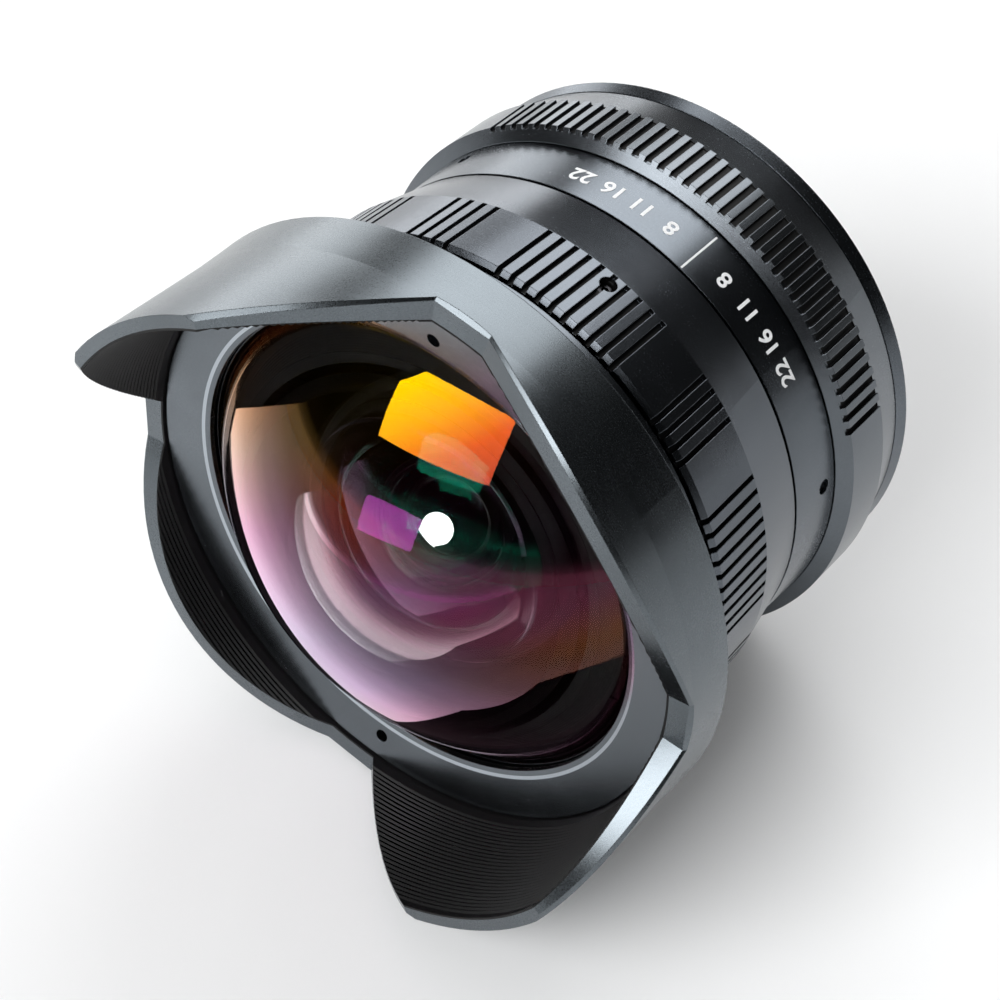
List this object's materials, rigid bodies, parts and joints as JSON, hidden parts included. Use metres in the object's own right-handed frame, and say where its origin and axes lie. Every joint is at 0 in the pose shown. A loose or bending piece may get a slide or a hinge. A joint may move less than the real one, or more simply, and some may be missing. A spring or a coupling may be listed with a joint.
{
  "type": "fisheye lens",
  "caption": "Compact manual fisheye camera lens with a domed front element, fixed petal hood, focus and aperture rings and a lugged bayonet mount.",
  "frame": {"origin": "centre of the bayonet mount's flange face, on the optical axis", "axes": "+Z forward along the optical axis, from the mount towards the front element; +Y through the middle of a tall hood petal; +X through the middle of a low hood petal"},
  "size_m": [0.0723, 0.0724, 0.0696],
  "materials": {
    "black_anodised": "satin",
    "matt_black_aluminium": "satin",
    "optical_glass": "satin",
    "chromed_brass": "satin",
    "bright_steel": "satin",
    "black_steel": "satin",
    "plain_brass": "satin",
    "black_plastic": "satin",
    "blade_steel": "satin"
  },
  "bodies": {
    "barrel": {"mount_plate": "chromed_brass", "mount_screws": "bright_steel", "rear_baffle": "black_plastic", "rear_ring": "black_anodised", "main_barrel": "matt_black_aluminium", "click_ball": "bright_steel", "click_spring": "bright_steel", "index_ring": "black_anodised", "index_grub_screws": "black_steel", "front_barrel": "matt_black_aluminium", "barrel_screws": "bright_steel", "hood": "black_anodised", "front_bezel": "black_anodised", "front_retainer": "matt_black_aluminium", "front_element": "optical_glass", "front_group_cell": "matt_black_aluminium", "second_element": "optical_glass", "second_element_ring": "matt_black_aluminium", "third_element": "optical_glass", "third_element_ring": "matt_black_aluminium", "fourth_element": "optical_glass", "fourth_element_ring": "matt_black_aluminium"},
    "focus_ring": {"focus_ring": "black_anodised", "cam_sleeve": "plain_brass", "focus_grub_screws": "black_steel"},
    "focus_cell": {"focus_cell": "matt_black_aluminium", "guide_pins": "plain_brass", "fifth_element": "optical_glass", "fifth_element_ring": "matt_black_aluminium", "iris_base": "matt_black_aluminium", "iris_retaining_ring": "matt_black_aluminium", "rear_group_cell": "matt_black_aluminium", "iris_screws": "bright_steel", "middle_doublet_crown": "optical_glass", "middle_doublet_flint": "optical_glass", "middle_doublet_ring": "matt_black_aluminium", "rear_doublet_crown": "optical_glass", "rear_doublet_flint": "optical_glass", "rear_doublet_ring": "matt_black_aluminium"},
    "aperture_ring": {"aperture_ring": "black_anodised", "aperture_pin": "plain_brass"},
    "iris_cam": {"iris_cam_ring": "blade_steel"},
    "iris_blade_1": {"iris_blade_1": "blade_steel"},
    "iris_blade_2": {"iris_blade_2": "blade_steel"},
    "iris_blade_3": {"iris_blade_3": "blade_steel"},
    "iris_blade_4": {"iris_blade_4": "blade_steel"},
    "iris_blade_5": {"iris_blade_5": "blade_steel"},
    "iris_blade_6": {"iris_blade_6": "blade_steel"}
  },
  "joints": [
    {"name": "focus_turn", "type": "hinge", "parent": "barrel", "child": "focus_ring", "pos_m": [0, 0, 0.03], "axis": [0, 0, 1], "range_deg": [0, 90]},
    {"name": "focus_travel", "type": "slide", "parent": "barrel", "child": "focus_cell", "axis": [0, 0, 1], "range_m": [0, 0.001]},
    {"name": "aperture_turn", "type": "hinge", "parent": "barrel", "child": "aperture_ring", "pos_m": [0, 0, 0.0085], "axis": [0, 0, 1], "range_deg": [0, 42]},
    {"name": "iris_turn", "type": "hinge", "parent": "focus_cell", "child": "iris_cam", "pos_m": [0, 0, 0.0121], "axis": [0, 0, 1], "range_deg": [0, 42]},
    {"name": "blade_turn_1", "type": "hinge", "parent": "focus_cell", "child": "iris_blade_1", "pos_m": [0.0116, 0, 0.0104], "axis": [0, 0, 1], "range_deg": [0, 24]},
    {"name": "blade_turn_2", "type": "hinge", "parent": "focus_cell", "child": "iris_blade_2", "pos_m": [0.0058, 0.01005, 0.0104], "axis": [0, 0, 1], "range_deg": [0, 24]},
    {"name": "blade_turn_3", "type": "hinge", "parent": "focus_cell", "child": "iris_blade_3", "pos_m": [-0.0058, 0.01005, 0.0104], "axis": [0, 0, 1], "range_deg": [0, 24]},
    {"name": "blade_turn_4", "type": "hinge", "parent": "focus_cell", "child": "iris_blade_4", "pos_m": [-0.0116, 0, 0.0104], "axis": [0, 0, 1], "range_deg": [0, 24]},
    {"name": "blade_turn_5", "type": "hinge", "parent": "focus_cell", "child": "iris_blade_5", "pos_m": [-0.0058, -0.01005, 0.0104], "axis": [0, 0, 1], "range_deg": [0, 24]},
    {"name": "blade_turn_6", "type": "hinge", "parent": "focus_cell", "child": "iris_blade_6", "pos_m": [0.0058, -0.01005, 0.0104], "axis": [0, 0, 1], "range_deg": [0, 24]}
  ],
  "couplings": [
    {"joint": "focus_travel", "follows": "focus_turn", "m_per_rad": 0.0006366},
    {"joint": "iris_turn", "follows": "aperture_turn", "ratio": 1},
    {"joint": "blade_turn_1", "follows": "aperture_turn", "ratio": 0.57143},
    {"joint": "blade_turn_2", "follows": "aperture_turn", "ratio": 0.57143},
    {"joint": "blade_turn_3", "follows": "aperture_turn", "ratio": 0.57143},
    {"joint": "blade_turn_4", "follows": "aperture_turn", "ratio": 0.57143},
    {"joint": "blade_turn_5", "follows": "aperture_turn", "ratio": 0.57143},
    {"joint": "blade_turn_6", "follows": "aperture_turn", "ratio": 0.57143}
  ]
}
